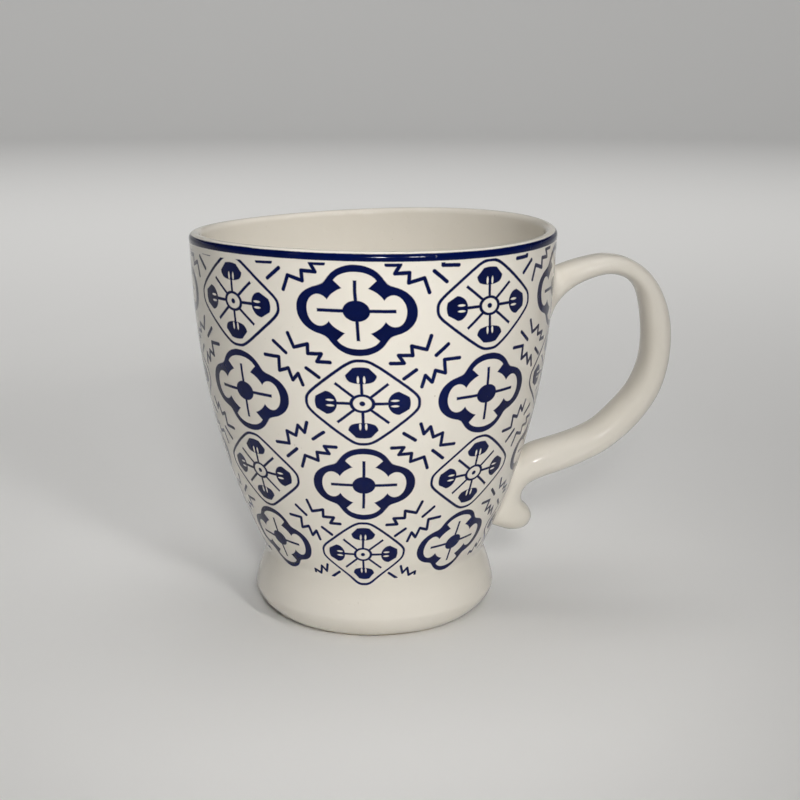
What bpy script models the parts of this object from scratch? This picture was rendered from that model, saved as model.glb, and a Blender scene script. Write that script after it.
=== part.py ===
"""A footed stoneware mug: cup, pedestal foot, pulled strap handle and the slip that joins them.

Run with: blender --background --python part.py
Metres, +Z up. The foot stands on z = 0, the handle points along +X and the middle of the
bounding box is at x = y = 0, so the turning axis of the cup is at x = AXIS_X.
"""

import math

import bmesh
import bpy
from mathutils import Matrix, Vector

MM = 0.001

# Cup wall, outer side
RIM_HEIGHT = 108.3 * MM
RIM_RADIUS = 50.0 * MM
SHOULDER_RADIUS = 49.5 * MM
WAIST_HEIGHT = 17.6 * MM
WAIST_RADIUS = 30.9 * MM
WALL_SWELL = 2.3
RIM_FLARE_SHARPNESS = 12
WALL_THICKNESS = 3.8 * MM
LIP_THICKNESS = 3.2 * MM
LIP_HEIGHT = 8.0 * MM

# Inside of the cup
FLOOR_HEIGHT = 22.4 * MM
FLOOR_FLAT_RADIUS = 15.0 * MM
FLOOR_CURVE_TOP = 36.0 * MM

# Pedestal foot
FOOT_RADIUS = 33.8 * MM
FOOT_BULGE_HEIGHT = 6.9 * MM
FOOT_RING_OUTER = 27.2 * MM
FOOT_RING_INNER = 24.2 * MM
FOOT_RECESS_RADIUS = 25.4 * MM
FOOT_HEEL_ROUNDING = 1.5
FOOT_SHOULDER_ROUNDING = 1.4

# Slip joints: a layer of slip with a fine gap on both sides
GAP = 0.3 * MM
SLIP = 0.5 * MM

# Handle: largest reach from the turning axis, and the section's squareness
HANDLE_REACH = 84.4 * MM
HANDLE_SQUARENESS = 2.4
RING_POINTS = 24
STEPS_BETWEEN = 3

# Handle stations from the upper root, round the loop, to the end of the tail: the point on
# the outer edge and the point on the inner edge (distance from the axis, height), and the width
HANDLE_STATIONS = (
    (43.0, 98.6, 43.0, 74.0, 19.0),
    (48.5, 98.3, 48.0, 77.8, 17.0),
    (51.5, 98.2, 50.4, 83.6, 14.8),
    (55.0, 98.4, 54.0, 88.2, 13.2),
    (58.8, 99.0, 59.0, 91.4, 12.4),
    (64.6, 99.7, 64.8, 92.9, 11.8),
    (71.2, 98.6, 69.0, 92.4, 11.5),
    (77.2, 95.1, 72.2, 90.2, 11.6),
    (81.4, 89.8, 74.2, 86.7, 12.0),
    (83.9, 82.2, 75.3, 80.8, 12.4),
    (84.4, 74.0, 75.7, 74.0, 12.7),
    (83.4, 65.4, 74.8, 67.6, 12.8),
    (80.6, 57.6, 72.2, 61.5, 13.0),
    (74.6, 49.5, 67.6, 56.4, 13.2),
    (66.7, 43.0, 62.2, 51.6, 13.4),
    (59.7, 39.5, 56.2, 48.8, 13.5),
    (53.4, 37.1, 50.6, 46.9, 13.6),
    (48.0, 35.1, 44.4, 45.4, 13.6),
    (44.9, 33.3, 38.0, 40.5, 13.2),
    (43.2, 30.8, 34.0, 34.4, 12.4),
    (43.3, 28.4, 32.5, 29.8, 11.6),
    (45.0, 26.2, 31.6, 27.2, 11.4),
    (45.8, 23.8, 31.2, 25.2, 11.4),
    (44.9, 21.5, 31.6, 23.4, 10.4),
    (42.8, 20.1, 33.0, 22.0, 7.8),
    (39.8, 19.6, 36.0, 20.6, 3.6),
)

GLAZE_COLOR = (0.76, 0.72, 0.63)
SLIP_COLOR = (0.66, 0.60, 0.50)
TURN_STEPS = 64
AXIS_X = (RIM_RADIUS - HANDLE_REACH) / 2
JOINT_HEIGHT = WAIST_HEIGHT - SLIP / 2


def clear_scene():
    for obj in list(bpy.data.objects):
        bpy.data.objects.remove(obj, do_unlink=True)


def new_collection(name):
    collection = bpy.data.collections.new(name)
    bpy.context.scene.collection.children.link(collection)
    return collection


def new_material(name, color, roughness):
    """A glazed or bare clay surface."""
    material = bpy.data.materials.new(name)
    material.use_nodes = True
    shader = material.node_tree.nodes["Principled BSDF"]
    shader.inputs["Base Color"].default_value = (*color, 1.0)
    shader.inputs["Roughness"].default_value = roughness
    shader.inputs["Metallic"].default_value = 0.0
    material.diffuse_color = (*color, 1.0)
    return material


def wall_radius(z):
    """Outer radius of the cup at a height between the waist and the rim."""
    share = min(max((z - WAIST_HEIGHT) / (RIM_HEIGHT - WAIST_HEIGHT), 0.0), 1.0)
    swell = 1 - (1 - share) ** WALL_SWELL
    flare = (RIM_RADIUS - SHOULDER_RADIUS) * share**RIM_FLARE_SHARPNESS
    return WAIST_RADIUS + (SHOULDER_RADIUS - WAIST_RADIUS) * swell + flare


def wall_thickness(z):
    """The wall thins towards the lip over the last few millimetres."""
    share = min(max((RIM_HEIGHT - z) / LIP_HEIGHT, 0.0), 1.0)
    return LIP_THICKNESS + (WALL_THICKNESS - LIP_THICKNESS) * share


def arc(center, radii, start, end, count):
    """Points (radius, height) on an elliptic arc, angles in degrees from the outward direction."""
    points = []
    for i in range(count + 1):
        angle = math.radians(start + (end - start) * i / count)
        points.append((center[0] + radii[0] * math.cos(angle), center[1] + radii[1] * math.sin(angle)))
    return points


def spread(low, high, count):
    return [low + (high - low) * i / count for i in range(count + 1)]


def turned(name, outline, collection, closed=False, steps=TURN_STEPS):
    """A turned solid: the outline (radius, height) runs up the inside and down the outside."""
    mesh = bpy.data.meshes.new(name)
    points = [(radius, 0.0, height) for radius, height in outline]
    edges = [(i, i + 1) for i in range(len(points) - 1)]
    if closed:
        edges.append((len(points) - 1, 0))
    mesh.from_pydata(points, edges, [])
    obj = bpy.data.objects.new(name, mesh)
    obj.location = (AXIS_X, 0.0, 0.0)
    collection.objects.link(obj)
    screw = obj.modifiers.new("Turn", "SCREW")
    screw.axis = "Z"
    screw.angle = math.tau
    screw.steps = steps
    screw.render_steps = steps
    screw.use_merge_vertices = True
    screw.merge_threshold = 0.00001
    screw.use_smooth_shade = True
    return obj


def wall_outline(top, bottom, offset, count):
    """The wall's outer line from top down to bottom, moved out by an offset."""
    return [(wall_radius(z) + offset, z) for z in spread(top, bottom, count)]


def make_cup(collection):
    """Thin thrown wall with a rounded lip, and a floor that curves up into it."""
    lip_radius = LIP_THICKNESS / 2
    lip_center = (RIM_RADIUS - lip_radius, RIM_HEIGHT - lip_radius)
    floor_side = wall_radius(FLOOR_CURVE_TOP) - WALL_THICKNESS
    floor_center = (FLOOR_FLAT_RADIUS, FLOOR_CURVE_TOP)
    floor_radii = (floor_side - FLOOR_FLAT_RADIUS, FLOOR_CURVE_TOP - FLOOR_HEIGHT)
    outline = [(0.0, FLOOR_HEIGHT)]
    outline += arc(floor_center, floor_radii, -90, 0, 7)
    inside_top = RIM_HEIGHT - LIP_HEIGHT
    for z in spread(FLOOR_CURVE_TOP, inside_top, 9)[1:]:
        outline.append((wall_radius(z) - wall_thickness(z), z))
    outline += arc(lip_center, (lip_radius, lip_radius), 180, 0, 6)
    outline += wall_outline(inside_top, JOINT_HEIGHT + SLIP + GAP, 0.0, 14)
    outline.append((0.0, JOINT_HEIGHT + SLIP + GAP))
    return turned("cup_bowl", outline, collection)


def foot_radius(z):
    """Outer radius of the foot: a rounded heel, the bulge and a shoulder up to the waist."""
    if z < FOOT_BULGE_HEIGHT:
        share = 1 - z / FOOT_BULGE_HEIGHT
        reach = (1 - share**FOOT_HEEL_ROUNDING) ** (1 / FOOT_HEEL_ROUNDING)
        return FOOT_RING_OUTER + (FOOT_RADIUS - FOOT_RING_OUTER) * reach
    share = (z - FOOT_BULGE_HEIGHT) / (WAIST_HEIGHT - FOOT_BULGE_HEIGHT)
    return FOOT_RADIUS - (FOOT_RADIUS - WAIST_RADIUS) * share**FOOT_SHOULDER_ROUNDING


def make_foot(collection):
    """Hollow pedestal that stands on a flat ring; the cup's underside closes it above."""
    top = JOINT_HEIGHT - GAP
    outline = [(foot_radius(z), z) for z in spread(top, FOOT_BULGE_HEIGHT, 6)]
    heel = [math.sin(math.radians(angle)) for angle in spread(0, 90, 7)]
    outline += [(foot_radius(z), z) for z in ((1 - share) * FOOT_BULGE_HEIGHT for share in heel[1:])]
    outline.append((FOOT_RING_INNER, 0.0))
    outline.append((FOOT_RING_INNER - 0.4 * MM, 1.0 * MM))
    outline.append((FOOT_RECESS_RADIUS, top))
    return turned("pedestal_foot", outline, collection, closed=True)


def make_foot_slip(collection):
    """The ring of slip that bonds the foot under the cup."""
    outer = WAIST_RADIUS
    outline = [(outer - SLIP / 2, JOINT_HEIGHT + SLIP), (outer, JOINT_HEIGHT + SLIP / 2)]
    outline += [(outer - SLIP / 2, JOINT_HEIGHT), (FOOT_RECESS_RADIUS, JOINT_HEIGHT)]
    outline.append((FOOT_RECESS_RADIUS, JOINT_HEIGHT + SLIP))
    return turned("foot_slip_joint", outline, collection, closed=True)


def blend(before, start, end, after, t):
    """Catmull-Rom value between start and end."""
    return 0.5 * (
        2 * start
        + (end - before) * t
        + (2 * before - 5 * start + 4 * end - after) * t**2
        + (3 * start - before - 3 * end + after) * t**3
    )


def handle_sections():
    """Stations in between the named ones, so that the strap bends smoothly."""
    last = len(HANDLE_STATIONS) - 1
    sections = []
    for i in range(last):
        near = [HANDLE_STATIONS[min(max(i + k, 0), last)] for k in (-1, 0, 1, 2)]
        for step in range(STEPS_BETWEEN):
            share = step / STEPS_BETWEEN
            sections.append([MM * blend(*values, share) for values in zip(*near)])
    sections.append([MM * value for value in HANDLE_STATIONS[last]])
    return sections


def squared(value):
    return math.copysign(abs(value) ** (2 / HANDLE_SQUARENESS), value)


def make_strap(name, collection):
    """A loft through rounded sections that stand between the strap's outer and inner edge."""
    sections = handle_sections()
    solid = bmesh.new()
    rings = []
    for outer_reach, outer_height, inner_reach, inner_height, width in sections:
        outer = Vector((outer_reach, 0.0, outer_height))
        inner = Vector((inner_reach, 0.0, inner_height))
        thickness = (outer - inner).length
        out = (outer - inner).normalized()
        across = Vector((0.0, 1.0, 0.0))
        frame = Matrix((out, across, out.cross(across))).transposed().to_4x4()
        frame.translation = (outer + inner) / 2
        ring = bmesh.ops.create_circle(solid, cap_ends=False, segments=RING_POINTS, radius=1.0)["verts"]
        for vert in ring:
            vert.co.x = squared(vert.co.x) * thickness / 2
            vert.co.y = squared(vert.co.y) * width / 2
        bmesh.ops.transform(solid, matrix=frame, verts=ring)
        rings.append(list({edge for vert in ring for edge in vert.link_edges}))
    bmesh.ops.contextual_create(solid, geom=rings[0])
    bmesh.ops.contextual_create(solid, geom=rings[-1])
    for first, second in zip(rings, rings[1:]):
        bmesh.ops.bridge_loops(solid, edges=first + second)
    bmesh.ops.recalc_face_normals(solid, faces=solid.faces)
    mesh = bpy.data.meshes.new(name)
    solid.to_mesh(mesh)
    solid.free()
    mesh.shade_smooth()
    obj = bpy.data.objects.new(name, mesh)
    obj.location = (AXIS_X, 0.0, 0.0)
    collection.objects.link(obj)
    return obj


def hide_helper(obj):
    obj.hide_render = True
    obj.display_type = "WIRE"


def add_boolean(obj, operation, other):
    boolean = obj.modifiers.new(operation.title(), "BOOLEAN")
    boolean.operation = operation
    boolean.solver = "EXACT"
    boolean.object = other


def make_handle(collection, helpers):
    """The strap, cut to sit on its slip a hair outside the cup wall."""
    outline = [(0.0, 12.0 * MM)]
    outline.append((0.0, RIM_HEIGHT + 4 * MM))
    outline += wall_outline(RIM_HEIGHT + 4 * MM, 14.0 * MM, GAP + SLIP + GAP, 24)
    outline.append((0.0, 14.0 * MM))
    cutter = turned("cup_space", outline[1:], helpers, steps=2 * TURN_STEPS)
    hide_helper(cutter)
    handle = make_strap("handle", collection)
    add_boolean(handle, "DIFFERENCE", cutter)
    return handle


def make_handle_slip(name, low, high, collection, helpers):
    """The pad of slip between the cup wall and one root of the handle."""
    outer = wall_outline(high, low, GAP + SLIP, 14)
    inner = wall_outline(low, high, GAP, 14)
    shell = turned(name + "_space", outer + inner, helpers, closed=True, steps=2 * TURN_STEPS)
    hide_helper(shell)
    pad = make_strap(name, collection)
    add_boolean(pad, "INTERSECT", shell)
    return pad


def main():
    clear_scene()
    mug = new_collection("polish_stoneware_mug")
    helpers = new_collection("helpers")
    middle = (RIM_HEIGHT + WAIST_HEIGHT) / 2
    glazed = [make_cup(mug), make_foot(mug), make_handle(mug, helpers)]
    slips = [make_foot_slip(mug)]
    slips.append(make_handle_slip("handle_upper_slip_joint", middle, RIM_HEIGHT - 4 * MM, mug, helpers))
    slips.append(make_handle_slip("handle_lower_slip_joint", WAIST_HEIGHT, middle, mug, helpers))
    for obj in glazed:
        obj.data.materials.append(new_material(obj.name + "_glaze", GLAZE_COLOR, 0.12))
    for obj in slips:
        obj.data.materials.append(new_material(obj.name + "_clay", SLIP_COLOR, 0.60))


main()
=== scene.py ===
import math

import bmesh
import bpy
from mathutils import Matrix, Vector


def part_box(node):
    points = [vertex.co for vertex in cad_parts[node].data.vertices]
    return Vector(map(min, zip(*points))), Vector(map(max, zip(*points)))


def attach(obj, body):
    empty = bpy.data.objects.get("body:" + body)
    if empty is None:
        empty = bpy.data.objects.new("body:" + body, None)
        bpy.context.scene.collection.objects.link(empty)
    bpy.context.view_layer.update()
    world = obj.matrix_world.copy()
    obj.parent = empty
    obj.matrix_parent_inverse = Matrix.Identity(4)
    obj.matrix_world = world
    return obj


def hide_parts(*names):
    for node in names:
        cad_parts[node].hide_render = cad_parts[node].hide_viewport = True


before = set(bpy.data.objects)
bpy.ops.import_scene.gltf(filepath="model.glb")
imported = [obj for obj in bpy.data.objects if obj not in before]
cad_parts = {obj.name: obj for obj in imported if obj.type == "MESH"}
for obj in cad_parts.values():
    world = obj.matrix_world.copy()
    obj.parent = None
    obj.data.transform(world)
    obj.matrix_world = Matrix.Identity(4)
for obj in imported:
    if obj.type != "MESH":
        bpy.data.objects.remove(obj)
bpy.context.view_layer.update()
cupLow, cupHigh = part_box("cup_bowl")
axisX = (cupLow.x + cupHigh.x) / 2  # the turning axis, in metres
mm = 0.001  # every size below is in millimetres
print("frame loaded, turning axis at x =", round(axisX, 4))

# the thrown wall: a narrow waist, a full swell and a slightly flared rim
wall = {
    "rimHeight": 107.3,
    "shoulderRadius": 49.5,
    "rimFlare": 0.5,
    "flareSharpness": 12,
    "waistHeight": 17.6,
    "waistRadius": 30.55,
    "waistSoftness": 0.9,
    "softEnds": 0.4,
    "softFades": 0.2,
    "swell": 2.3,
    "thickness": 3.8,
    "lipThickness": 3.3,
    "innerLip": 2.95,
    "thinningHeight": 24.0,
    "printTop": 0.35,
    "lipStarts": 104.3,
    "waistStarts": 26.0,
    "printBottom": 15.6,
    "turns": 256,
}

# the kiln pulled the rim a little out of level
sway = {"lean": 0.54, "twist": 0.57, "leanTurn": 6.0, "startHeight": 30.0}

foot = {
    "bulgeRadius": 33.8,
    "bulgeHeight": 6.9,
    "shoulderRounding": 1.4,
    "heelRounding": 1.5,
    "ringOuter": 27.3,
    "ringInner": 24.2,
    "ringSide": 1.2,
    "recessRadius": 25.4,
    "recessTop": 18.0,
    "recessCorner": 3.0,
    "recessDome": 0.3,
    "glazeStops": 0.9,
}


def wallShare(z):
    return (z - wall["waistHeight"]) / (wall["rimHeight"] - wall["waistHeight"])


def flareAt(z):
    return wall["rimFlare"] * min(wallShare(z), 1) ** wall["flareSharpness"]


def bodyRadius(z):
    # cup wall and foot meet in a soft hollow: the larger of two lines, rounded
    share = wallShare(z)
    reach = wall["shoulderRadius"] - wall["waistRadius"]
    if share > 0:
        above = reach * (1 - (1 - min(share, 1)) ** wall["swell"]) + flareAt(z)
    else:
        above = reach * wall["swell"] * share
    spread = foot["bulgeRadius"] - wall["waistRadius"]
    climb = (z - foot["bulgeHeight"]) / (wall["waistHeight"] - foot["bulgeHeight"])
    if climb < 0:
        below = spread
    elif climb < 1:
        below = spread * (1 - climb ** foot["shoulderRounding"])
    else:
        below = spread * foot["shoulderRounding"] * (1 - climb)
    soft = math.sqrt((above - below) ** 2 + wall["waistSoftness"] ** 2)
    rounded = (above + below + soft) / 2
    # higher up, the wall is left as it is
    blend = min(max((wall["softEnds"] - share) / wall["softFades"], 0), 1)
    return wall["waistRadius"] + above + (rounded - above) * blend


def footRadius(z):
    if z >= foot["bulgeHeight"]:
        return bodyRadius(z)
    share = 1 - z / foot["bulgeHeight"]
    power = foot["heelRounding"]
    spread = bodyRadius(foot["bulgeHeight"]) - foot["ringOuter"]
    return foot["ringOuter"] + spread * (1 - share**power) ** (1 / power)


def lipRadius(z):
    # outer side of the rounded lip
    half = wall["lipThickness"] / 2
    center = wall["rimHeight"] - half
    if z <= center:
        return bodyRadius(z)
    return bodyRadius(center) - half + math.sqrt(max(half**2 - (z - center) ** 2, 0))


def innerRadius(z):
    # the inside rises straight past the flare, so the lip is a touch fuller than the wall
    share = min((wall["rimHeight"] - z) / wall["thinningHeight"], 1)
    thickness = wall["innerLip"] + (wall["thickness"] - wall["innerLip"]) * share**2
    return bodyRadius(z) - flareAt(z) - thickness


def steps(start, end, count):
    return [start + (end - start) * i / count for i in range(count + 1)]


def rimSway(angle):
    turn = angle + math.radians(sway["leanTurn"])
    return sway["lean"] * math.cos(turn) + sway["twist"] * math.sin(2 * turn)


highestSway = max(rimSway(math.radians(a)) for a in range(360))
swayRoom = cupHigh.z / mm - wall["rimHeight"] - highestSway


def swayed(z, angle):
    share = min(max((z - sway["startHeight"]) / (wall["rimHeight"] - sway["startHeight"]), 0), 1)
    return z + (rimSway(angle) + min(swayRoom, 0)) * share * share * (3 - 2 * share)


def spun(name, outline, turns, mapped=None):
    # outline points (radius, height) are turned about the cup's axis, starting behind the handle
    shape = bmesh.new()
    verts = []
    for radius, height in outline:
        verts += bmesh.ops.create_vert(shape, co=(radius, 0, height))["vert"]
    for first, second in zip(verts, verts[1:]):
        shape.edges.new((first, second))
    line = list(shape.verts) + list(shape.edges)
    bmesh.ops.spin(
        shape, geom=line, cent=(0, 0, 0), axis=(0, 0, 1), dvec=(0, 0, 0),
        angle=math.tau, steps=turns, use_merge=True, use_duplicate=False,
    )
    bmesh.ops.remove_doubles(shape, verts=shape.verts, dist=0.0001)
    bmesh.ops.recalc_face_normals(shape, faces=shape.faces)
    if mapped:
        mapped(shape)
    for vert in shape.verts:
        angle = math.atan2(vert.co.y, vert.co.x)
        vert.co.z = swayed(vert.co.z, angle)
    return finished(shape, name)


def finished(shape, name):
    for vert in shape.verts:
        vert.co = Vector((vert.co.x * mm + axisX, vert.co.y * mm, vert.co.z * mm))
    mesh = bpy.data.meshes.new(name)
    shape.to_mesh(mesh)
    shape.free()
    mesh.shade_smooth()
    piece = bpy.data.objects.new(name, mesh)
    bpy.context.scene.collection.objects.link(piece)
    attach(piece, "root")
    return piece


# the transfer: columns of motifs round the wall, rows down it, measured along the clay
transfer = {
    "frontTurn": -101.3,
    "columnTurn": 40.8,
    "firstRow": 14.51,
    "rowPitch": 24.045,
    "rowShrink": 0.285,
    "lastShrink": 0.14,
    "bow": 1.5,
    "bowStart": 10,
    "bowRun": 75,
    "pull": 1.3,
    "sideRise": 0.41,
    "riseGrowth": 6,
    "sideFan": 0.467,
    "topCut": 2.8,
    "topCutTilt": 1.15,
    "bottomCut": 95.5,
    "bareTurn": 8.7,
    "askewness": 2.7,
    "acrossHalfTurn": 150,
    "cellWidth": 33.0,
    "cellHeight": 23.1,
    "sheetTop": -0.499,
    "lastRow": 3,
    "sheetBottom": 3.499,
    "lastSparks": 3.415,
    "limitSteepness": 40,
    "sparkOut": 0.9,
    "sparkDown": 0.7,
    "oddDrop": 1.8,
    "inkSpread": 0.09,
    "edge": 0.20,
    "wobble": 0.14,
    "bandTop": 0.55,
    "bandBottom": 2.22,
}
lengthStep = 0.25


def wallLengths():
    # distances along the clay from the rim's top, one for every step down
    table = [0.0]
    height = wall["rimHeight"]
    length = 0.0
    while height > wall["printBottom"] - 1:
        length += math.hypot(bodyRadius(height) - bodyRadius(height - lengthStep), lengthStep)
        height -= lengthStep
        table.append(length)
    return table


lengthTable = wallLengths()


def lengthAt(z):
    place = min(max((wall["rimHeight"] - z) / lengthStep, 0), len(lengthTable) - 1.001)
    index = int(place)
    before, after = lengthTable[index:index + 2]
    return before + (after - before) * (place - index)


def rowAt(length):
    run = length - transfer["firstRow"]
    inside = transfer["rowPitch"] ** 2 - 4 * transfer["rowShrink"] * run
    return (transfer["rowPitch"] - math.sqrt(max(inside, 0))) / (2 * transfer["rowShrink"])


def motifPlace(degrees, length):
    # u counts columns and v counts rows of motifs
    share = min(max((length - transfer["bowStart"]) / transfer["bowRun"], 0), 1)
    lean = transfer["bow"] * math.sin(math.pi * share)
    column = (degrees - transfer["frontTurn"]) / transfer["columnTurn"]
    row = max(rowAt(length), 0)
    # lower down, the sheet was pulled outwards and upwards to either side of the front
    lift = transfer["sideRise"] * row * (1 + row / transfer["riseGrowth"])
    rise = lift * (1 - math.cos(transfer["pull"] * column))
    fanned = transfer["sideFan"] * row * math.sin(transfer["pull"] * column) / transfer["columnTurn"]
    v = rowAt(length + rise)
    v += transfer["lastShrink"] * max(v - transfer["lastRow"], 0) ** 2
    return column - fanned - lean / transfer["cellWidth"], v


def mapTransfer(shape):
    # a second map holds turn and length, for the sheet's cuts and the band
    motif = shape.loops.layers.uv.new("motifMap")
    place = shape.loops.layers.uv.new("placeMap")
    for face in shape.faces:
        middle = face.calc_center_median()
        faceTurn = math.atan2(middle.y, middle.x)
        for loop in face.loops:
            co = loop.vert.co
            turn = math.atan2(co.y, co.x)
            turn += math.tau * round((faceTurn - turn) / math.tau)
            degrees = math.degrees(turn) - (360 if faceTurn > 0 else 0)
            length = lengthAt(co.z)
            loop[motif].uv = motifPlace(degrees, length)
            loop[place].uv = (degrees / 180, length / 100)


def arcPoints(center, radii, start, end, count):
    angles = [math.radians(a) for a in steps(start, end, count)]
    return [
        (center[0] + radii[0] * math.cos(a), center[1] + radii[1] * math.sin(a))
        for a in angles
    ]


def makePrintedWall():
    top = wall["rimHeight"] - wall["printTop"]
    outline = [(lipRadius(z), z) for z in steps(top, wall["lipStarts"], 14)]
    outline += [(bodyRadius(z), z) for z in steps(wall["lipStarts"], wall["waistStarts"], 110)[1:]]
    outline += [(bodyRadius(z), z) for z in steps(wall["waistStarts"], wall["printBottom"], 34)[1:]]
    piece = spun("printed_wall", outline, wall["turns"], mapTransfer)
    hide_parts("cup_bowl", "foot_slip_joint")
    return piece


inside = {"floorHeight": 22.4, "flatRadius": 14.0, "curveTop": 38.0}


def makeLipAndInside():
    half = wall["lipThickness"] / 2
    center = (bodyRadius(wall["rimHeight"] - half) - half, wall["rimHeight"] - half)
    start = math.degrees(math.asin((half - wall["printTop"]) / half))
    outline = arcPoints(center, (half, half), start, 90, 9)
    joined = innerRadius(wall["rimHeight"] - half)
    outline += arcPoints(center, (center[0] - joined, half), 90, 180, 9)[1:]
    low = inside["curveTop"]
    outline += [(innerRadius(z), z) for z in steps(wall["rimHeight"] - half, low, 60)[1:]]
    side = innerRadius(low)
    radii = (side - inside["flatRadius"], low - inside["floorHeight"])
    outline += arcPoints((inside["flatRadius"], low), radii, 0, -90, 24)[1:]
    outline += [(r, inside["floorHeight"]) for r in steps(inside["flatRadius"], 0, 6)[1:]]
    piece = spun("lip_and_inside", outline, wall["turns"])
    return piece


def makeFoot():
    outline = [(bodyRadius(z), z) for z in steps(wall["printBottom"], foot["bulgeHeight"], 30)]
    heel = [1 - math.sin(math.radians(a)) for a in steps(0, 90, 28)]
    heights = [share * foot["bulgeHeight"] for share in heel[1:]]
    outline += [(footRadius(z), z) for z in heights if z > foot["glazeStops"]]
    outline.append((footRadius(foot["glazeStops"]), foot["glazeStops"]))
    piece = spun("pedestal_foot_glazed", outline, wall["turns"])
    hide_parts("pedestal_foot")
    return piece


def makeFootRing():
    # the bare clay that the mug stands on, with both corners worn round
    inner = foot["ringInner"]
    outline = [(footRadius(z), z) for z in steps(foot["glazeStops"], 0.12, 6)]
    outline += [(foot["ringOuter"] - 0.35, 0.0), (inner + 0.4, 0.0)]
    outline += [(inner + 0.12, 0.12), (inner, 0.4), (inner + 0.03, foot["ringSide"])]
    piece = spun("bare_foot_ring", outline, wall["turns"])
    return piece


def makeFootHollow():
    low = foot["ringSide"]
    top = foot["recessTop"]
    corner = foot["recessCorner"]
    start = foot["ringInner"] + 0.03
    side = foot["recessRadius"] + 0.03
    outline = [(start + (side - start) * t, low + (top - corner - low) * t) for t in steps(0, 1, 10)]
    center = (side - corner, top - corner)
    outline += arcPoints(center, (corner, corner), 0, 90, 8)[1:]
    outline += [
        (r, top + foot["recessDome"] * (1 - r / center[0]))
        for r in steps(center[0], 0, 10)[1:]
    ]
    piece = spun("foot_hollow", outline, 128)
    return piece


# stations of the pulled strap from its upper root, round the loop, to the curled end:
# outer edge and inner edge (distance from the axis, height), then the width
strap = {
    "squareness": 2.3,
    "ringPoints": 72,
    "between": 7,
    "sink": 1.2,
    "upperFillet": 2.4,
    "lowerFillet": 1.8,
    "betweenRoots": 62,
    "stations": (
        (43.0, 92.0, 43.0, 73.0, 17.0),
        (48.5, 94.0, 47.8, 78.8, 15.0),
        (51.5, 95.3, 50.2, 84.0, 13.6),
        (55.0, 96.5, 54.0, 88.3, 12.7),
        (58.8, 97.5, 59.0, 91.2, 12.2),
        (64.4, 98.4, 64.8, 92.8, 11.7),
        (70.6, 97.5, 69.3, 92.3, 11.5),
        (76.4, 94.2, 72.7, 90.2, 11.6),
        (80.7, 88.9, 74.7, 86.7, 12.0),
        (83.5, 81.8, 75.9, 80.8, 12.4),
        (84.35, 74.0, 76.4, 74.0, 12.7),
        (83.4, 65.4, 75.6, 67.5, 12.8),
        (80.6, 57.6, 72.9, 61.2, 13.0),
        (74.6, 49.5, 68.3, 55.9, 13.2),
        (66.7, 43.0, 62.9, 51.0, 13.4),
        (59.7, 39.5, 56.8, 48.2, 13.5),
        (53.4, 37.1, 50.9, 46.4, 13.6),
        (47.5, 35.2, 44.4, 44.4, 13.4),
        (44.0, 33.4, 38.0, 40.0, 12.8),
        (42.4, 30.9, 34.0, 34.4, 11.6),
        (42.5, 28.4, 32.5, 29.8, 11.0),
        (44.4, 26.2, 31.6, 27.2, 10.9),
        (45.3, 23.8, 31.2, 25.2, 10.9),
        (44.5, 21.5, 31.6, 23.4, 9.8),
        (42.6, 20.1, 33.0, 22.0, 7.2),
        (39.8, 19.6, 36.0, 20.6, 3.2),
    ),
}


def blendStations(before, start, end, after, t):
    return 0.5 * (
        2 * start + (end - before) * t + (2 * before - 5 * start + 4 * end - after) * t**2
        + (3 * start - before - 3 * end + after) * t**3
    )


def strapSections():
    stations = strap["stations"]
    last = len(stations) - 1
    sections = []
    for i in range(last):
        near = [stations[min(max(i + k, 0), last)] for k in (-1, 0, 1, 2)]
        for step in range(strap["between"]):
            share = step / strap["between"]
            sections.append([blendStations(*values, share) for values in zip(*near)])
    sections.append(list(stations[last]))
    return sections


def squared(value):
    return math.copysign(abs(value) ** (2 / strap["squareness"]), value)


def strapRing(shape, section):
    outer = Vector((section[0], 0, section[1]))
    inner = Vector((section[2], 0, section[3]))
    out = (outer - inner).normalized()
    across = Vector((0, 1, 0))
    placed = Matrix((out, across, out.cross(across))).transposed().to_4x4()
    placed.translation = (outer + inner) / 2
    ring = bmesh.ops.create_circle(shape, cap_ends=False, segments=strap["ringPoints"], radius=1)["verts"]
    for vert in ring:
        vert.co.x = squared(vert.co.x) * (outer - inner).length / 2
        vert.co.y = squared(vert.co.y) * section[4] / 2
    bmesh.ops.transform(shape, matrix=placed, verts=ring)
    return list({edge for vert in ring for edge in vert.link_edges})


def flareOntoWall(shape):
    # near the wall the strap spreads in a small hollow, as wet slip is wiped round the joint
    shape.normal_update()
    moves = []
    for vert in shape.verts:
        reach = math.hypot(vert.co.x, vert.co.y)
        radius = bodyRadius(vert.co.z)
        slope = bodyRadius(vert.co.z + 0.5) - bodyRadius(vert.co.z - 0.5)
        outward = Vector((vert.co.x / reach, vert.co.y / reach, -slope)).normalized()
        away = (reach - radius) * outward.to_2d().length
        fillet = strap["upperFillet"] if vert.co.z > strap["betweenRoots"] else strap["lowerFillet"]
        if away > fillet:
            continue
        sideways = vert.normal - outward * vert.normal.dot(outward)
        depth = fillet - max(away, 0)
        spread = fillet - math.sqrt(max(fillet**2 - depth**2, 0))
        moves.append((vert, sideways * spread, away < 0))
    for vert, move, buried in moves:
        vert.co += move
        if buried:
            reach = math.hypot(vert.co.x, vert.co.y)
            sunk = bodyRadius(vert.co.z) - strap["sink"]
            if reach < sunk:
                vert.co.x *= sunk / reach
                vert.co.y *= sunk / reach


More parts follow.
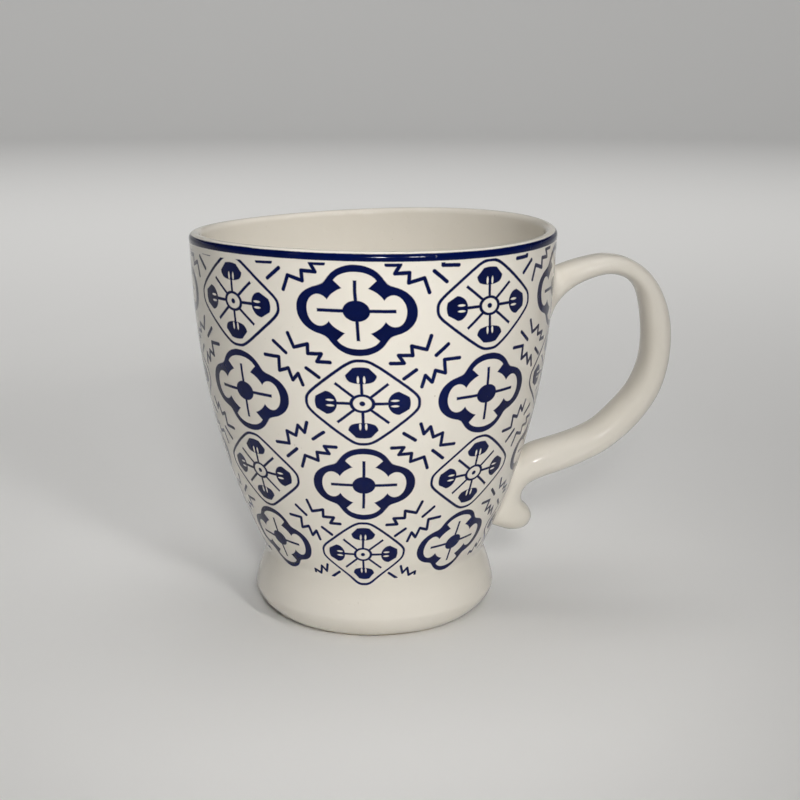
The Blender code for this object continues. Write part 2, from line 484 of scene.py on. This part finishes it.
def makeHandle():
    shape = bmesh.new()
    rings = [strapRing(shape, section) for section in strapSections()]
    for first, second in zip(rings, rings[1:]):
        bmesh.ops.bridge_loops(shape, edges=first + second)
    bmesh.ops.contextual_create(shape, geom=rings[0])
    bmesh.ops.contextual_create(shape, geom=rings[-1])
    bmesh.ops.recalc_face_normals(shape, faces=shape.faces)
    flareOntoWall(shape)
    for vert in shape.verts:
        angle = math.atan2(vert.co.y, vert.co.x)
        vert.co.z = swayed(vert.co.z, angle)
    piece = finished(shape, "strap_handle")
    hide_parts("handle", "handle_upper_slip_joint", "handle_lower_slip_joint")
    return piece


class Value:
    # one socket that takes part in Python sums
    def __init__(self, finish, socket):
        self.finish = finish
        self.socket = socket

    def maths(self, operation, *others, clamp=False):
        sockets = {i: other for i, other in enumerate((self,) + others)}
        settings = {"operation": operation, "use_clamp": clamp}
        return self.finish.value("ShaderNodeMath", settings, sockets)

    def __add__(self, other):
        return self.maths("ADD", other)

    def __radd__(self, other):
        return self.maths("ADD", other)

    def __sub__(self, other):
        return self.maths("SUBTRACT", other)

    def __rsub__(self, other):
        return self.finish.value("ShaderNodeMath", {"operation": "SUBTRACT"}, {0: other, 1: self})

    def __mul__(self, other):
        return self.maths("MULTIPLY", other)

    def __rmul__(self, other):
        return self.maths("MULTIPLY", other)

    def __truediv__(self, other):
        return self.maths("DIVIDE", other)

    def __abs__(self):
        return self.maths("ABSOLUTE")

    def least(self, other):
        return self.maths("MINIMUM", other)

    def most(self, other):
        return self.maths("MAXIMUM", other)

    def clamped(self):
        return self.maths("ADD", 0.0, clamp=True)


class Finish:
    # a material under construction, with the one method that adds nodes
    def __init__(self, name):
        self.material = bpy.data.materials.new(name)
        self.material.use_nodes = True
        self.tree = self.material.node_tree
        self.shader = self.tree.nodes["Principled BSDF"]

    def add(self, kind, settings=None, sockets=None):
        node = self.tree.nodes.new(kind)
        for name, setting in (settings or {}).items():
            setattr(node, name, setting)
        for name, given in (sockets or {}).items():
            self.feed(node.inputs[name], given)
        return node

    def feed(self, socket, given):
        if isinstance(given, Value):
            self.tree.links.new(given.socket, socket)
        elif isinstance(given, bpy.types.NodeSocket):
            self.tree.links.new(given, socket)
        elif isinstance(given, tuple) and len(given) == 3 and socket.type == "RGBA":
            socket.default_value = (*given, 1)
        else:
            socket.default_value = given

    def value(self, kind, settings=None, sockets=None, output=0):
        return Value(self, self.add(kind, settings, sockets).outputs[output])

    def vector(self, operation, *parts):
        sockets = dict(enumerate(parts))
        return self.add("ShaderNodeVectorMath", {"operation": operation}, sockets).outputs[0]

    def measured(self, operation, *parts):
        # a number worked out from vectors
        sockets = dict(enumerate(parts))
        return self.value("ShaderNodeVectorMath", {"operation": operation}, sockets, "Value")

    def point(self, x, y):
        return self.add("ShaderNodeCombineXYZ", None, {0: x, 1: y}).outputs[0]

    def parts(self, vector):
        outputs = self.add("ShaderNodeSeparateXYZ", None, {0: vector}).outputs
        return [Value(self, output) for output in outputs]

    def spots(self, scale, detail=2.0, roughness=0.5, where=None):
        where = where or self.add("ShaderNodeTexCoord").outputs["Object"]
        sockets = {"Vector": where, "Scale": scale, "Detail": detail, "Roughness": roughness}
        return self.value("ShaderNodeTexNoise", None, sockets, "Fac")

    def mix(self, share, first, second):
        node = self.add("ShaderNodeMix", {"data_type": "RGBA"}, {0: share, 6: first, 7: second})
        return node.outputs[2]

    def bump(self, height, distance, strength):
        sockets = {"Height": height, "Distance": distance, "Strength": strength}
        return self.add("ShaderNodeBump", None, sockets).outputs["Normal"]

    def done(self, sockets):
        for name, given in sockets.items():
            self.feed(self.shader.inputs[name], given)
        return self.material


ivoryGlaze = {
    "pale": (0.80, 0.765, 0.695),
    "warm": (0.76, 0.715, 0.635),
    "pooled": (0.66, 0.63, 0.555),
    "speck": (0.42, 0.36, 0.28),
    "driftScale": 38,
    "cloudScale": 160,
    "speckScale": 900,
    "rareScale": 60,
    "speckStrength": 0.55,
    "roughness": 0.08,
    "roughnessScale": 120,
    "roughnessSpread": 0.05,
    "ior": 1.5,
    "shine": 0.20,
    "peelScale": 420,
    "peelDepth": 0.035,
    "rippleScale": 45,
    "rippleDepth": 0.22,
    "pinholeScale": 1100,
    "pinholeDepth": 0.05,
    "bumpStrength": 0.55,
}


def glazeColor(finish, pooling):
    # slow drifts of tone, thicker glaze where it ran together, and a few iron specks
    drift = finish.spots(ivoryGlaze["driftScale"], 3)
    cloud = finish.spots(ivoryGlaze["cloudScale"], 2)
    share = (drift * 1.3 + cloud * 0.4 - 0.45).clamped()
    color = finish.mix(share, ivoryGlaze["pale"], ivoryGlaze["warm"])
    color = finish.mix(pooling, color, ivoryGlaze["pooled"])
    specks = finish.spots(ivoryGlaze["speckScale"], 1, 0.4)
    rare = finish.spots(ivoryGlaze["rareScale"], 1)
    speck = ((specks - 0.76) * 14).clamped() * ((rare - 0.52) * 8).clamped()
    return finish.mix(speck * ivoryGlaze["speckStrength"], color, ivoryGlaze["speck"])


def glazeRoughness(finish):
    spread = ivoryGlaze["roughnessSpread"]
    uneven = finish.spots(ivoryGlaze["roughnessScale"], 2) * spread
    return uneven + (ivoryGlaze["roughness"] - spread / 2)


def glazeNormal(finish, extra=None):
    # orange peel, slow ripples from the throwing and tiny pinholes
    peel = finish.spots(ivoryGlaze["peelScale"], 2) * ivoryGlaze["peelDepth"]
    ripple = finish.spots(ivoryGlaze["rippleScale"], 1) * ivoryGlaze["rippleDepth"]
    pinhole = ((0.26 - finish.spots(ivoryGlaze["pinholeScale"], 0)) * 12).clamped()
    height = peel + ripple - pinhole * ivoryGlaze["pinholeDepth"]
    if extra is not None:
        height = height + extra
    return finish.bump(height, mm, ivoryGlaze["bumpStrength"])


# where the glaze ran together and is thicker: height, half width of the zone and strength
pools = {
    "insideFloor": (inside["floorHeight"], 7, 0.35),
    "waist": (wall["waistHeight"] - 1, 5, 0.45),
    "handleKnob": (26, 8, 0.2),
    "hollowTop": (foot["recessTop"], 4, 0.4),
}


def heightPooling(finish, center, width, strength):
    where = finish.add("ShaderNodeTexCoord").outputs["Object"]
    z = finish.parts(where)[2]
    wave = finish.spots(90, 2) * 2.0 - 1.0
    away = abs(z * (1 / mm) - center + wave * (width * 0.3)) * (1 / width)
    return (1 - away).clamped() * strength


def ellipse(finish, point, center, semi):
    size = (1 / semi[0], 1 / semi[1], 0)
    start = (-center[0] / semi[0], -center[1] / semi[1], 0)
    moved = finish.vector("MULTIPLY_ADD", point, size, start)
    return (finish.measured("LENGTH", moved) - 1) * (2 * semi[0] * semi[1] / (semi[0] + semi[1]))


def stroke(finish, point, start, end):
    # distance from a straight line between two points
    run = Vector(end) - Vector(start)
    along = run / run.length_squared
    fromStart = finish.vector("SUBTRACT", point, (*start, 0))
    share = finish.measured("DOT_PRODUCT", fromStart, (*along, 0)).clamped()
    scaled = finish.add("ShaderNodeVectorMath", {"operation": "SCALE"}, {0: (*run, 0), "Scale": share})
    return finish.measured("DISTANCE", fromStart, scaled.outputs[0])


def softLeast(first, second, softness):
    apart = first - second
    return (first + second - (apart * apart + softness**2).maths("SQRT")) * 0.5


# every motif is symmetrical, so it is given for one quarter: distances across and up its middle;
# an ellipse is its middle, then its two half sizes
flower = {
    "upperLobe": ((0, 5.75), (6.3, 4.95)),
    "sideLobe": ((8.3, 0), (5.65, 5.2)),
    "lobesMeet": 2.25,
    "openMiddle": ((0, 0), (7.4, 5.95)),
    "upperPetal": ((0, 6.2), (5.3, 3.12)),
    "petalCut": (1.72, 0.688, -0.726),
    "sidePetal": ((8.75, 0), (2.98, 3.9)),
    "heart": ((0, 0), (3.08, 2.47)),
    "crossHalf": 0.325,
    "crossReach": (9.1, 7.15),
}


def lobedFlower(finish, x, y):
    # negative inside the blue: a four-lobed ring, a solid heart and a fine cross
    point = finish.point(x, y)

    def oval(name):
        return ellipse(finish, point, *flower[name])

    lobes = softLeast(oval("upperLobe"), oval("sideLobe"), flower["lobesMeet"])
    start, byX, byY = flower["petalCut"]
    petal = oval("upperPetal").most(x * byX + y * byY + start)
    white = oval("openMiddle").least(petal).least(oval("sidePetal"))
    ring = lobes.most(-1 * white)
    half = flower["crossHalf"]
    reachX, reachY = flower["crossReach"]
    cross = (y - half).most(x - reachX).least((x - half).most(y - reachY))
    return ring.least(oval("heart")).least(cross)


star = {
    "frameReach": (16.6, 13.0),
    "frameCorners": (2.54, 2.04),
    "frameHalf": 0.28,
    "leastSlope": 0.0004,
    "ring": ((0, 0), (3.08, 2.4)),
    "ringHole": ((0, 0), (2.37, 1.87)),
    "dot": ((0, 0), (0.62, 0.55)),
    "slantTurn": 38.83,
    "slantHalf": 0.28,
    "slantReach": 8.2,
    "spokeHalf": 0.3,
    "spokeReach": (9.0, 7.3),
    "upperBlossom": {"middle": 7.25, "round": 2.45, "half": 3.66, "end": 9.32, "endHalf": 1.7},
    "sideBlossom": {"middle": 9.0, "round": 2.7, "half": 2.95, "end": 11.7, "endHalf": 1.4},
    "domeWidth": 1.15,
    "upperLeaf": ((0.74, 6.15), (0.36, 1.1)),
    "sideLeaf": ((7.95, 0.72), (1.15, 0.34)),
}


def blossom(across, along, size):
    # at the tip of a spoke: round towards the middle, with straight shoulders and a blunt end
    half = size["half"]
    past = along - size["middle"]
    inward = past.least(0.0) * (1 / size["round"])
    side = across * (1 / half)
    bud = (hypotenuse(inward, side) - 1) * ((size["round"] + half) / 2)
    outward = size["end"] - size["middle"]
    narrowing = half - size["endHalf"]
    slant = math.hypot(outward, narrowing)
    shoulder = (across - half) * (outward / slant) + past * (narrowing / slant)
    wide = across * (1 / (half * star["domeWidth"]))
    dome = (hypotenuse(past * (1 / outward), wide) - 1) * outward
    return bud.most(shoulder).most(dome)


def hypotenuse(first, second):
    return (first * first + second * second).maths("SQRT")


def roundedFrame(x, y):
    # a diamond whose corners are rounded, as a line
    reachX, reachY = star["frameReach"]
    cornerX, cornerY = star["frameCorners"]
    smoothX = (x.maths("POWER", 3.0) + cornerX**3).maths("POWER", 1 / 3)
    smoothY = (y.maths("POWER", 3.0) + cornerY**3).maths("POWER", 1 / 3)
    slopeX = (x / smoothX).maths("POWER", 2.0) * (1 / reachX)
    slopeY = (y / smoothY).maths("POWER", 2.0) * (1 / reachY)
    slope = (slopeX * slopeX + slopeY * slopeY + star["leastSlope"]).maths("SQRT")
    return abs((smoothX * (1 / reachX) + smoothY * (1 / reachY) - 1) / slope) - star["frameHalf"]


def framedStar(finish, x, y):
    # a rounded diamond line, a ring with a dot, eight spokes and four blossoms
    point = finish.point(x, y)

    def oval(name):
        return ellipse(finish, point, *star[name])

    turn = math.radians(star["slantTurn"])
    slanted = abs(x * math.sin(turn) - y * math.cos(turn)) - star["slantHalf"]
    slanted = slanted.most(x * math.cos(turn) + y * math.sin(turn) - star["slantReach"])
    half = star["spokeHalf"]
    reachX, reachY = star["spokeReach"]
    spokes = slanted.least((y - half).most(x - reachX)).least((x - half).most(y - reachY))
    blossoms = blossom(x, y, star["upperBlossom"]).least(blossom(y, x, star["sideBlossom"]))
    blossoms = blossoms.most(-1 * oval("upperLeaf").least(oval("sideLeaf")))
    inner = spokes.least(oval("ring")).least(blossoms)
    return roundedFrame(x, y).least(inner.most(-1 * oval("ringHole"))).least(oval("dot"))


sparks = {
    "center": (15.7, 12.6),
    "width": 0.78,
    "lines": (
        (
            (1.46, -6.45), (0.21, -3.04), (-3.4, -4.09), (-3.26, -1.73),
            (-6.6, -1.86), (-5.4, 0.15), (-8.54, 0.15),
        ),
        (
            (8.54, -0.34), (4.59, -0.2), (4.79, 3.28), (2.29, 2.38),
            (1.39, 5.36), (-0.28, 3.55), (-1.18, 6.4),
        ),
        ((5.63, -4.09), (2.5, -1.45)),
        ((-2.5, 1.96), (-5.5, 4.1)),
    ),
}


def sparkLines(finish, x, y):
    centerX, centerY = sparks["center"]
    point = finish.point(x - centerX, y - centerY)
    nearest = None
    for line in sparks["lines"]:
        for start, end in zip(line, line[1:]):
            away = stroke(finish, point, start, end)
            nearest = away if nearest is None else nearest.least(away)
    return nearest - sparks["width"] / 2


cobalt = {
    "deep": (0.0004, 0.0020, 0.030),
    "bright": (0.0008, 0.0075, 0.080),
    "thin": (0.02, 0.05, 0.20),
    "washScale": 55,
    "mottleScale": 420,
    "grainScale": 1500,
    "grain": 0.10,
    "bleed": 0.08,
    "bleedShare": 0.4,
    "thickness": 0.02,
}


def motifInk(finish):
    # where the sheet's motifs are, as a distance: negative inside the blue
    motif = finish.add("ShaderNodeUVMap", {"uv_map": "motifMap"}).outputs[0]
    u, v = finish.parts(motif)[:2]
    where = finish.add("ShaderNodeTexCoord").outputs["Object"]
    elsewhere = finish.vector("ADD", where, (0.3, 0.1, 0.2))
    across = finish.spots(260, 1) - 0.5
    down = finish.spots(260, 1, 0.5, elsewhere) - 0.5
    u = u + across * (transfer["wobble"] / transfer["cellWidth"])
    v = v + down * (transfer["wobble"] / transfer["cellHeight"])
    foldedU = u.maths("PINGPONG", 1.0)
    foldedV = v.maths("PINGPONG", 1.0)
    x = foldedU * transfer["cellWidth"]
    y = foldedV * transfer["cellHeight"]
    # flowers stand at two opposite corners of the folded cell, stars at the other two
    flip = (foldedU + foldedV).maths("GREATER_THAN", 1.0)
    flowerX = abs(flip * transfer["cellWidth"] - x)
    flowerY = abs(flip * transfer["cellHeight"] - y)
    lean = foldedV.maths("GREATER_THAN", foldedU)
    starX = abs((1 - lean) * transfer["cellWidth"] - x)
    starY = abs(lean * transfer["cellHeight"] - y)
    ink = lobedFlower(finish, flowerX, flowerY).least(framedStar(finish, starX, starY))
    # over the top row and under the last one there is room for sparks only
    steep = transfer["limitSteepness"]
    ink = ink.most((transfer["sheetTop"] - v) * steep).most((v - transfer["sheetBottom"]) * steep)
    # the sparks of every other gap hang lower
    drop = v.maths("FLOORED_MODULO", 2.0).maths("GREATER_THAN", 1.0) * transfer["oddDrop"]
    below = v.maths("GREATER_THAN", float(transfer["lastRow"]))
    sparkX = x + below * transfer["sparkOut"]
    sparkY = y + drop - below * transfer["sparkDown"]
    spark = sparkLines(finish, sparkX, sparkY)
    return ink.least(spark.most((v - transfer["lastSparks"]) * steep))


def cutAndBanded(finish, ink):
    # the sheet is cut near the rim and at the waist, and stops beside the handle
    place = finish.add("ShaderNodeUVMap", {"uv_map": "placeMap"}).outputs[0]
    turn, length = finish.parts(place)[:2]
    length = length * 100
    askew = ((transfer["frontTurn"] / 180 - turn) * math.pi).maths("SINE").most(0.0)
    tilt = (askew * askew * transfer["askewness"]).least(transfer["topCutTilt"])
    ink = ink.most(transfer["topCut"] - length + tilt).most(length - transfer["bottomCut"])
    fromHandle = 1 - abs(turn + 1.0)
    ink = ink.most((transfer["bareTurn"] / 180 - fromHandle) * transfer["acrossHalfTurn"])
    wave = finish.spots(70, 1) - 0.5
    upper = transfer["bandTop"] - length + wave * 0.3
    return ink.least(upper.most(length - transfer["bandBottom"] + wave * 0.12))


def printedGlaze():
    finish = Finish("printed_cobalt_glaze")
    ink = cutAndBanded(finish, motifInk(finish))
    grain = (finish.spots(cobalt["grainScale"], 2) - 0.5) * cobalt["grain"]
    mask = (0.5 - (ink - transfer["inkSpread"] + grain) * (1 / transfer["edge"])).clamped()
    # the cobalt is thinner in places, and a little at the edges where it bled into the glaze
    wash = finish.spots(cobalt["washScale"], 2) * 0.9
    density = (wash + finish.spots(cobalt["mottleScale"], 2) * 0.5 - 0.25).clamped()
    blue = finish.mix(density, cobalt["deep"], cobalt["bright"])
    bled = ((ink + cobalt["bleed"]) * 3.0).clamped() * cobalt["bleedShare"]
    blue = finish.mix(bled, blue, cobalt["thin"])
    ground = glazeColor(finish, heightPooling(finish, *pools["waist"]))
    return finish.done({
        "Base Color": finish.mix(mask, ground, blue),
        "Roughness": glazeRoughness(finish) + mask * 0.02,
        "IOR": ivoryGlaze["ior"],
        "Specular IOR Level": ivoryGlaze["shine"],
        "Normal": glazeNormal(finish, mask * cobalt["thickness"]),
    })


def plainGlaze(name, pooling):
    finish = Finish(name)
    return finish.done({
        "Base Color": glazeColor(finish, heightPooling(finish, *pooling)),
        "Roughness": glazeRoughness(finish),
        "IOR": ivoryGlaze["ior"],
        "Specular IOR Level": ivoryGlaze["shine"],
        "Normal": glazeNormal(finish),
    })


bareClay = {"light": (0.66, 0.585, 0.47), "dark": (0.47, 0.385, 0.28), "roughness": 0.78}


def firedClay():
    # unglazed ring: gritty, rubbed darker where it has stood
    finish = Finish("bare_fired_clay")
    grit = finish.spots(1300, 3, 0.7)
    cloud = finish.spots(140, 3)
    share = (grit * 0.9 + cloud * 0.8 - 0.45).clamped()
    return finish.done({
        "Base Color": finish.mix(share, bareClay["light"], bareClay["dark"]),
        "Roughness": grit * 0.15 + (bareClay["roughness"] - 0.07),
        "Normal": finish.bump(grit * 0.12 + cloud * 0.05, mm, 0.8),
    })


def dress(piece, material):
    piece.data.materials.clear()
    piece.data.materials.append(material)


printedWall = makePrintedWall()
lipAndInside = makeLipAndInside()
glazedFoot = makeFoot()
footRing = makeFootRing()
footHollow = makeFootHollow()
handle = makeHandle()
print("pieces modelled")

dress(printedWall, printedGlaze())
dress(lipAndInside, plainGlaze("inside_glaze", pools["insideFloor"]))
dress(glazedFoot, plainGlaze("foot_glaze", pools["waist"]))
dress(handle, plainGlaze("handle_glaze", pools["handleKnob"]))
dress(footHollow, plainGlaze("hollow_glaze", pools["hollowTop"]))
dress(footRing, firedClay())
print("glazes mixed")

studio = {
    "floorRadius": 2.2,
    "sweepHeight": 0.9,
    "floorTone": (0.88, 0.88, 0.875),
    "ambient": (0.93, 0.95, 1.0),
    "ambientStrength": 0.035,
    "lights": (
        # name, place, aim, then width, height, watts, color and beam in degrees
        (
            "front_window", (-0.043, -0.500, 0.265), (-0.045, 0.0, 0.065),
            0.07, 0.07, 0.105, (1.0, 0.985, 0.96), 50,
        ),
        (
            "right_window", (0.154, -0.470, 0.300), (-0.045, 0.0, 0.065),
            0.07, 0.07, 0.070, (1.0, 0.985, 0.96), 50,
        ),
        (
            "left_window", (-0.427, -0.290, 0.320), (-0.022, 0.0, 0.060),
            0.05, 0.05, 0.003, (1.0, 0.985, 0.96), 60,
        ),
        (
            "overhead_sheet", (0.1, 0.1, 1.6), (0.0, 0.0, 0.0),
            1.4, 1.4, 6.2, (1.0, 0.985, 0.96), 150,
        ),
        (
            "backdrop_wash", (0.0, 0.55, 1.7), (0.0, 3.0, 0.35),
            2.4, 0.8, 28.0, (1.0, 0.99, 0.97), 170,
        ),
    ),
}


def makeFloor():
    shape = bmesh.new()
    radius = studio["floorRadius"]
    sweep = studio["sweepHeight"]
    outline = [(0.0, 0.0), (radius * 0.5, 0.0), (radius, 0.0)]
    outline += arcPoints((radius, sweep), (sweep, sweep), -90, -10, 20)[1:]
    for r, z in outline:
        bmesh.ops.create_vert(shape, co=(r, 0, z))
    shape.verts.ensure_lookup_table()
    for i in range(len(outline) - 1):
        shape.edges.new((shape.verts[i], shape.verts[i + 1]))
    bmesh.ops.spin(
        shape, geom=list(shape.verts) + list(shape.edges), cent=(0, 0, 0), axis=(0, 0, 1),
        dvec=(0, 0, 0), angle=math.tau, steps=96, use_merge=True, use_duplicate=False,
    )
    bmesh.ops.remove_doubles(shape, verts=shape.verts, dist=0.00001)
    bmesh.ops.recalc_face_normals(shape, faces=shape.faces)
    mesh = bpy.data.meshes.new("studio_floor")
    shape.to_mesh(mesh)
    shape.free()
    mesh.shade_smooth()
    floor = bpy.data.objects.new("studio_floor", mesh)
    bpy.context.scene.collection.objects.link(floor)
    finish = Finish("matte_floor")
    finish.done({"Base Color": studio["floorTone"], "Roughness": 0.9, "Specular IOR Level": 0.2})
    floor.data.materials.append(finish.material)


def makeLights():
    for name, place, aim, width, height, watts, color, beam in studio["lights"]:
        light = bpy.data.lights.new(name, "AREA")
        light.shape = "RECTANGLE"
        light.size = width
        light.size_y = height
        light.energy = watts
        light.color = color
        light.spread = math.radians(beam)
        lamp = bpy.data.objects.new(name, light)
        lamp.location = place
        lamp.rotation_euler = (Vector(aim) - Vector(place)).to_track_quat("-Z", "Y").to_euler()
        bpy.context.scene.collection.objects.link(lamp)
    world = bpy.data.worlds.new("studio_air")
    world.use_nodes = True
    air = world.node_tree.nodes["Background"]
    air.inputs["Color"].default_value = (*studio["ambient"], 1)
    air.inputs["Strength"].default_value = studio["ambientStrength"]
    bpy.context.scene.world = world


view = {"place": (-0.0418, -0.3978, 0.1553), "aim": (0.1191, 0.9648, -0.2343), "lens": 66.1}


def makeCamera():
    lens = bpy.data.cameras.new("table_view")
    lens.lens = view["lens"]
    lens.sensor_width = 36
    lens.clip_start = 0.01
    lens.dof.use_dof = False
    camera = bpy.data.objects.new("table_view", lens)
    camera.location = Vector(view["place"]) + Vector((axisX, 0, 0))
    camera.rotation_euler = Vector(view["aim"]).to_track_quat("-Z", "Y").to_euler()
    bpy.context.scene.collection.objects.link(camera)
    bpy.context.scene.camera = camera
    bpy.context.scene.view_settings.view_transform = "Standard"
    bpy.context.scene.view_settings.look = "None"
    bpy.context.scene.view_settings.exposure = 0.0


makeFloor()
makeLights()
makeCamera()
print("studio ready")
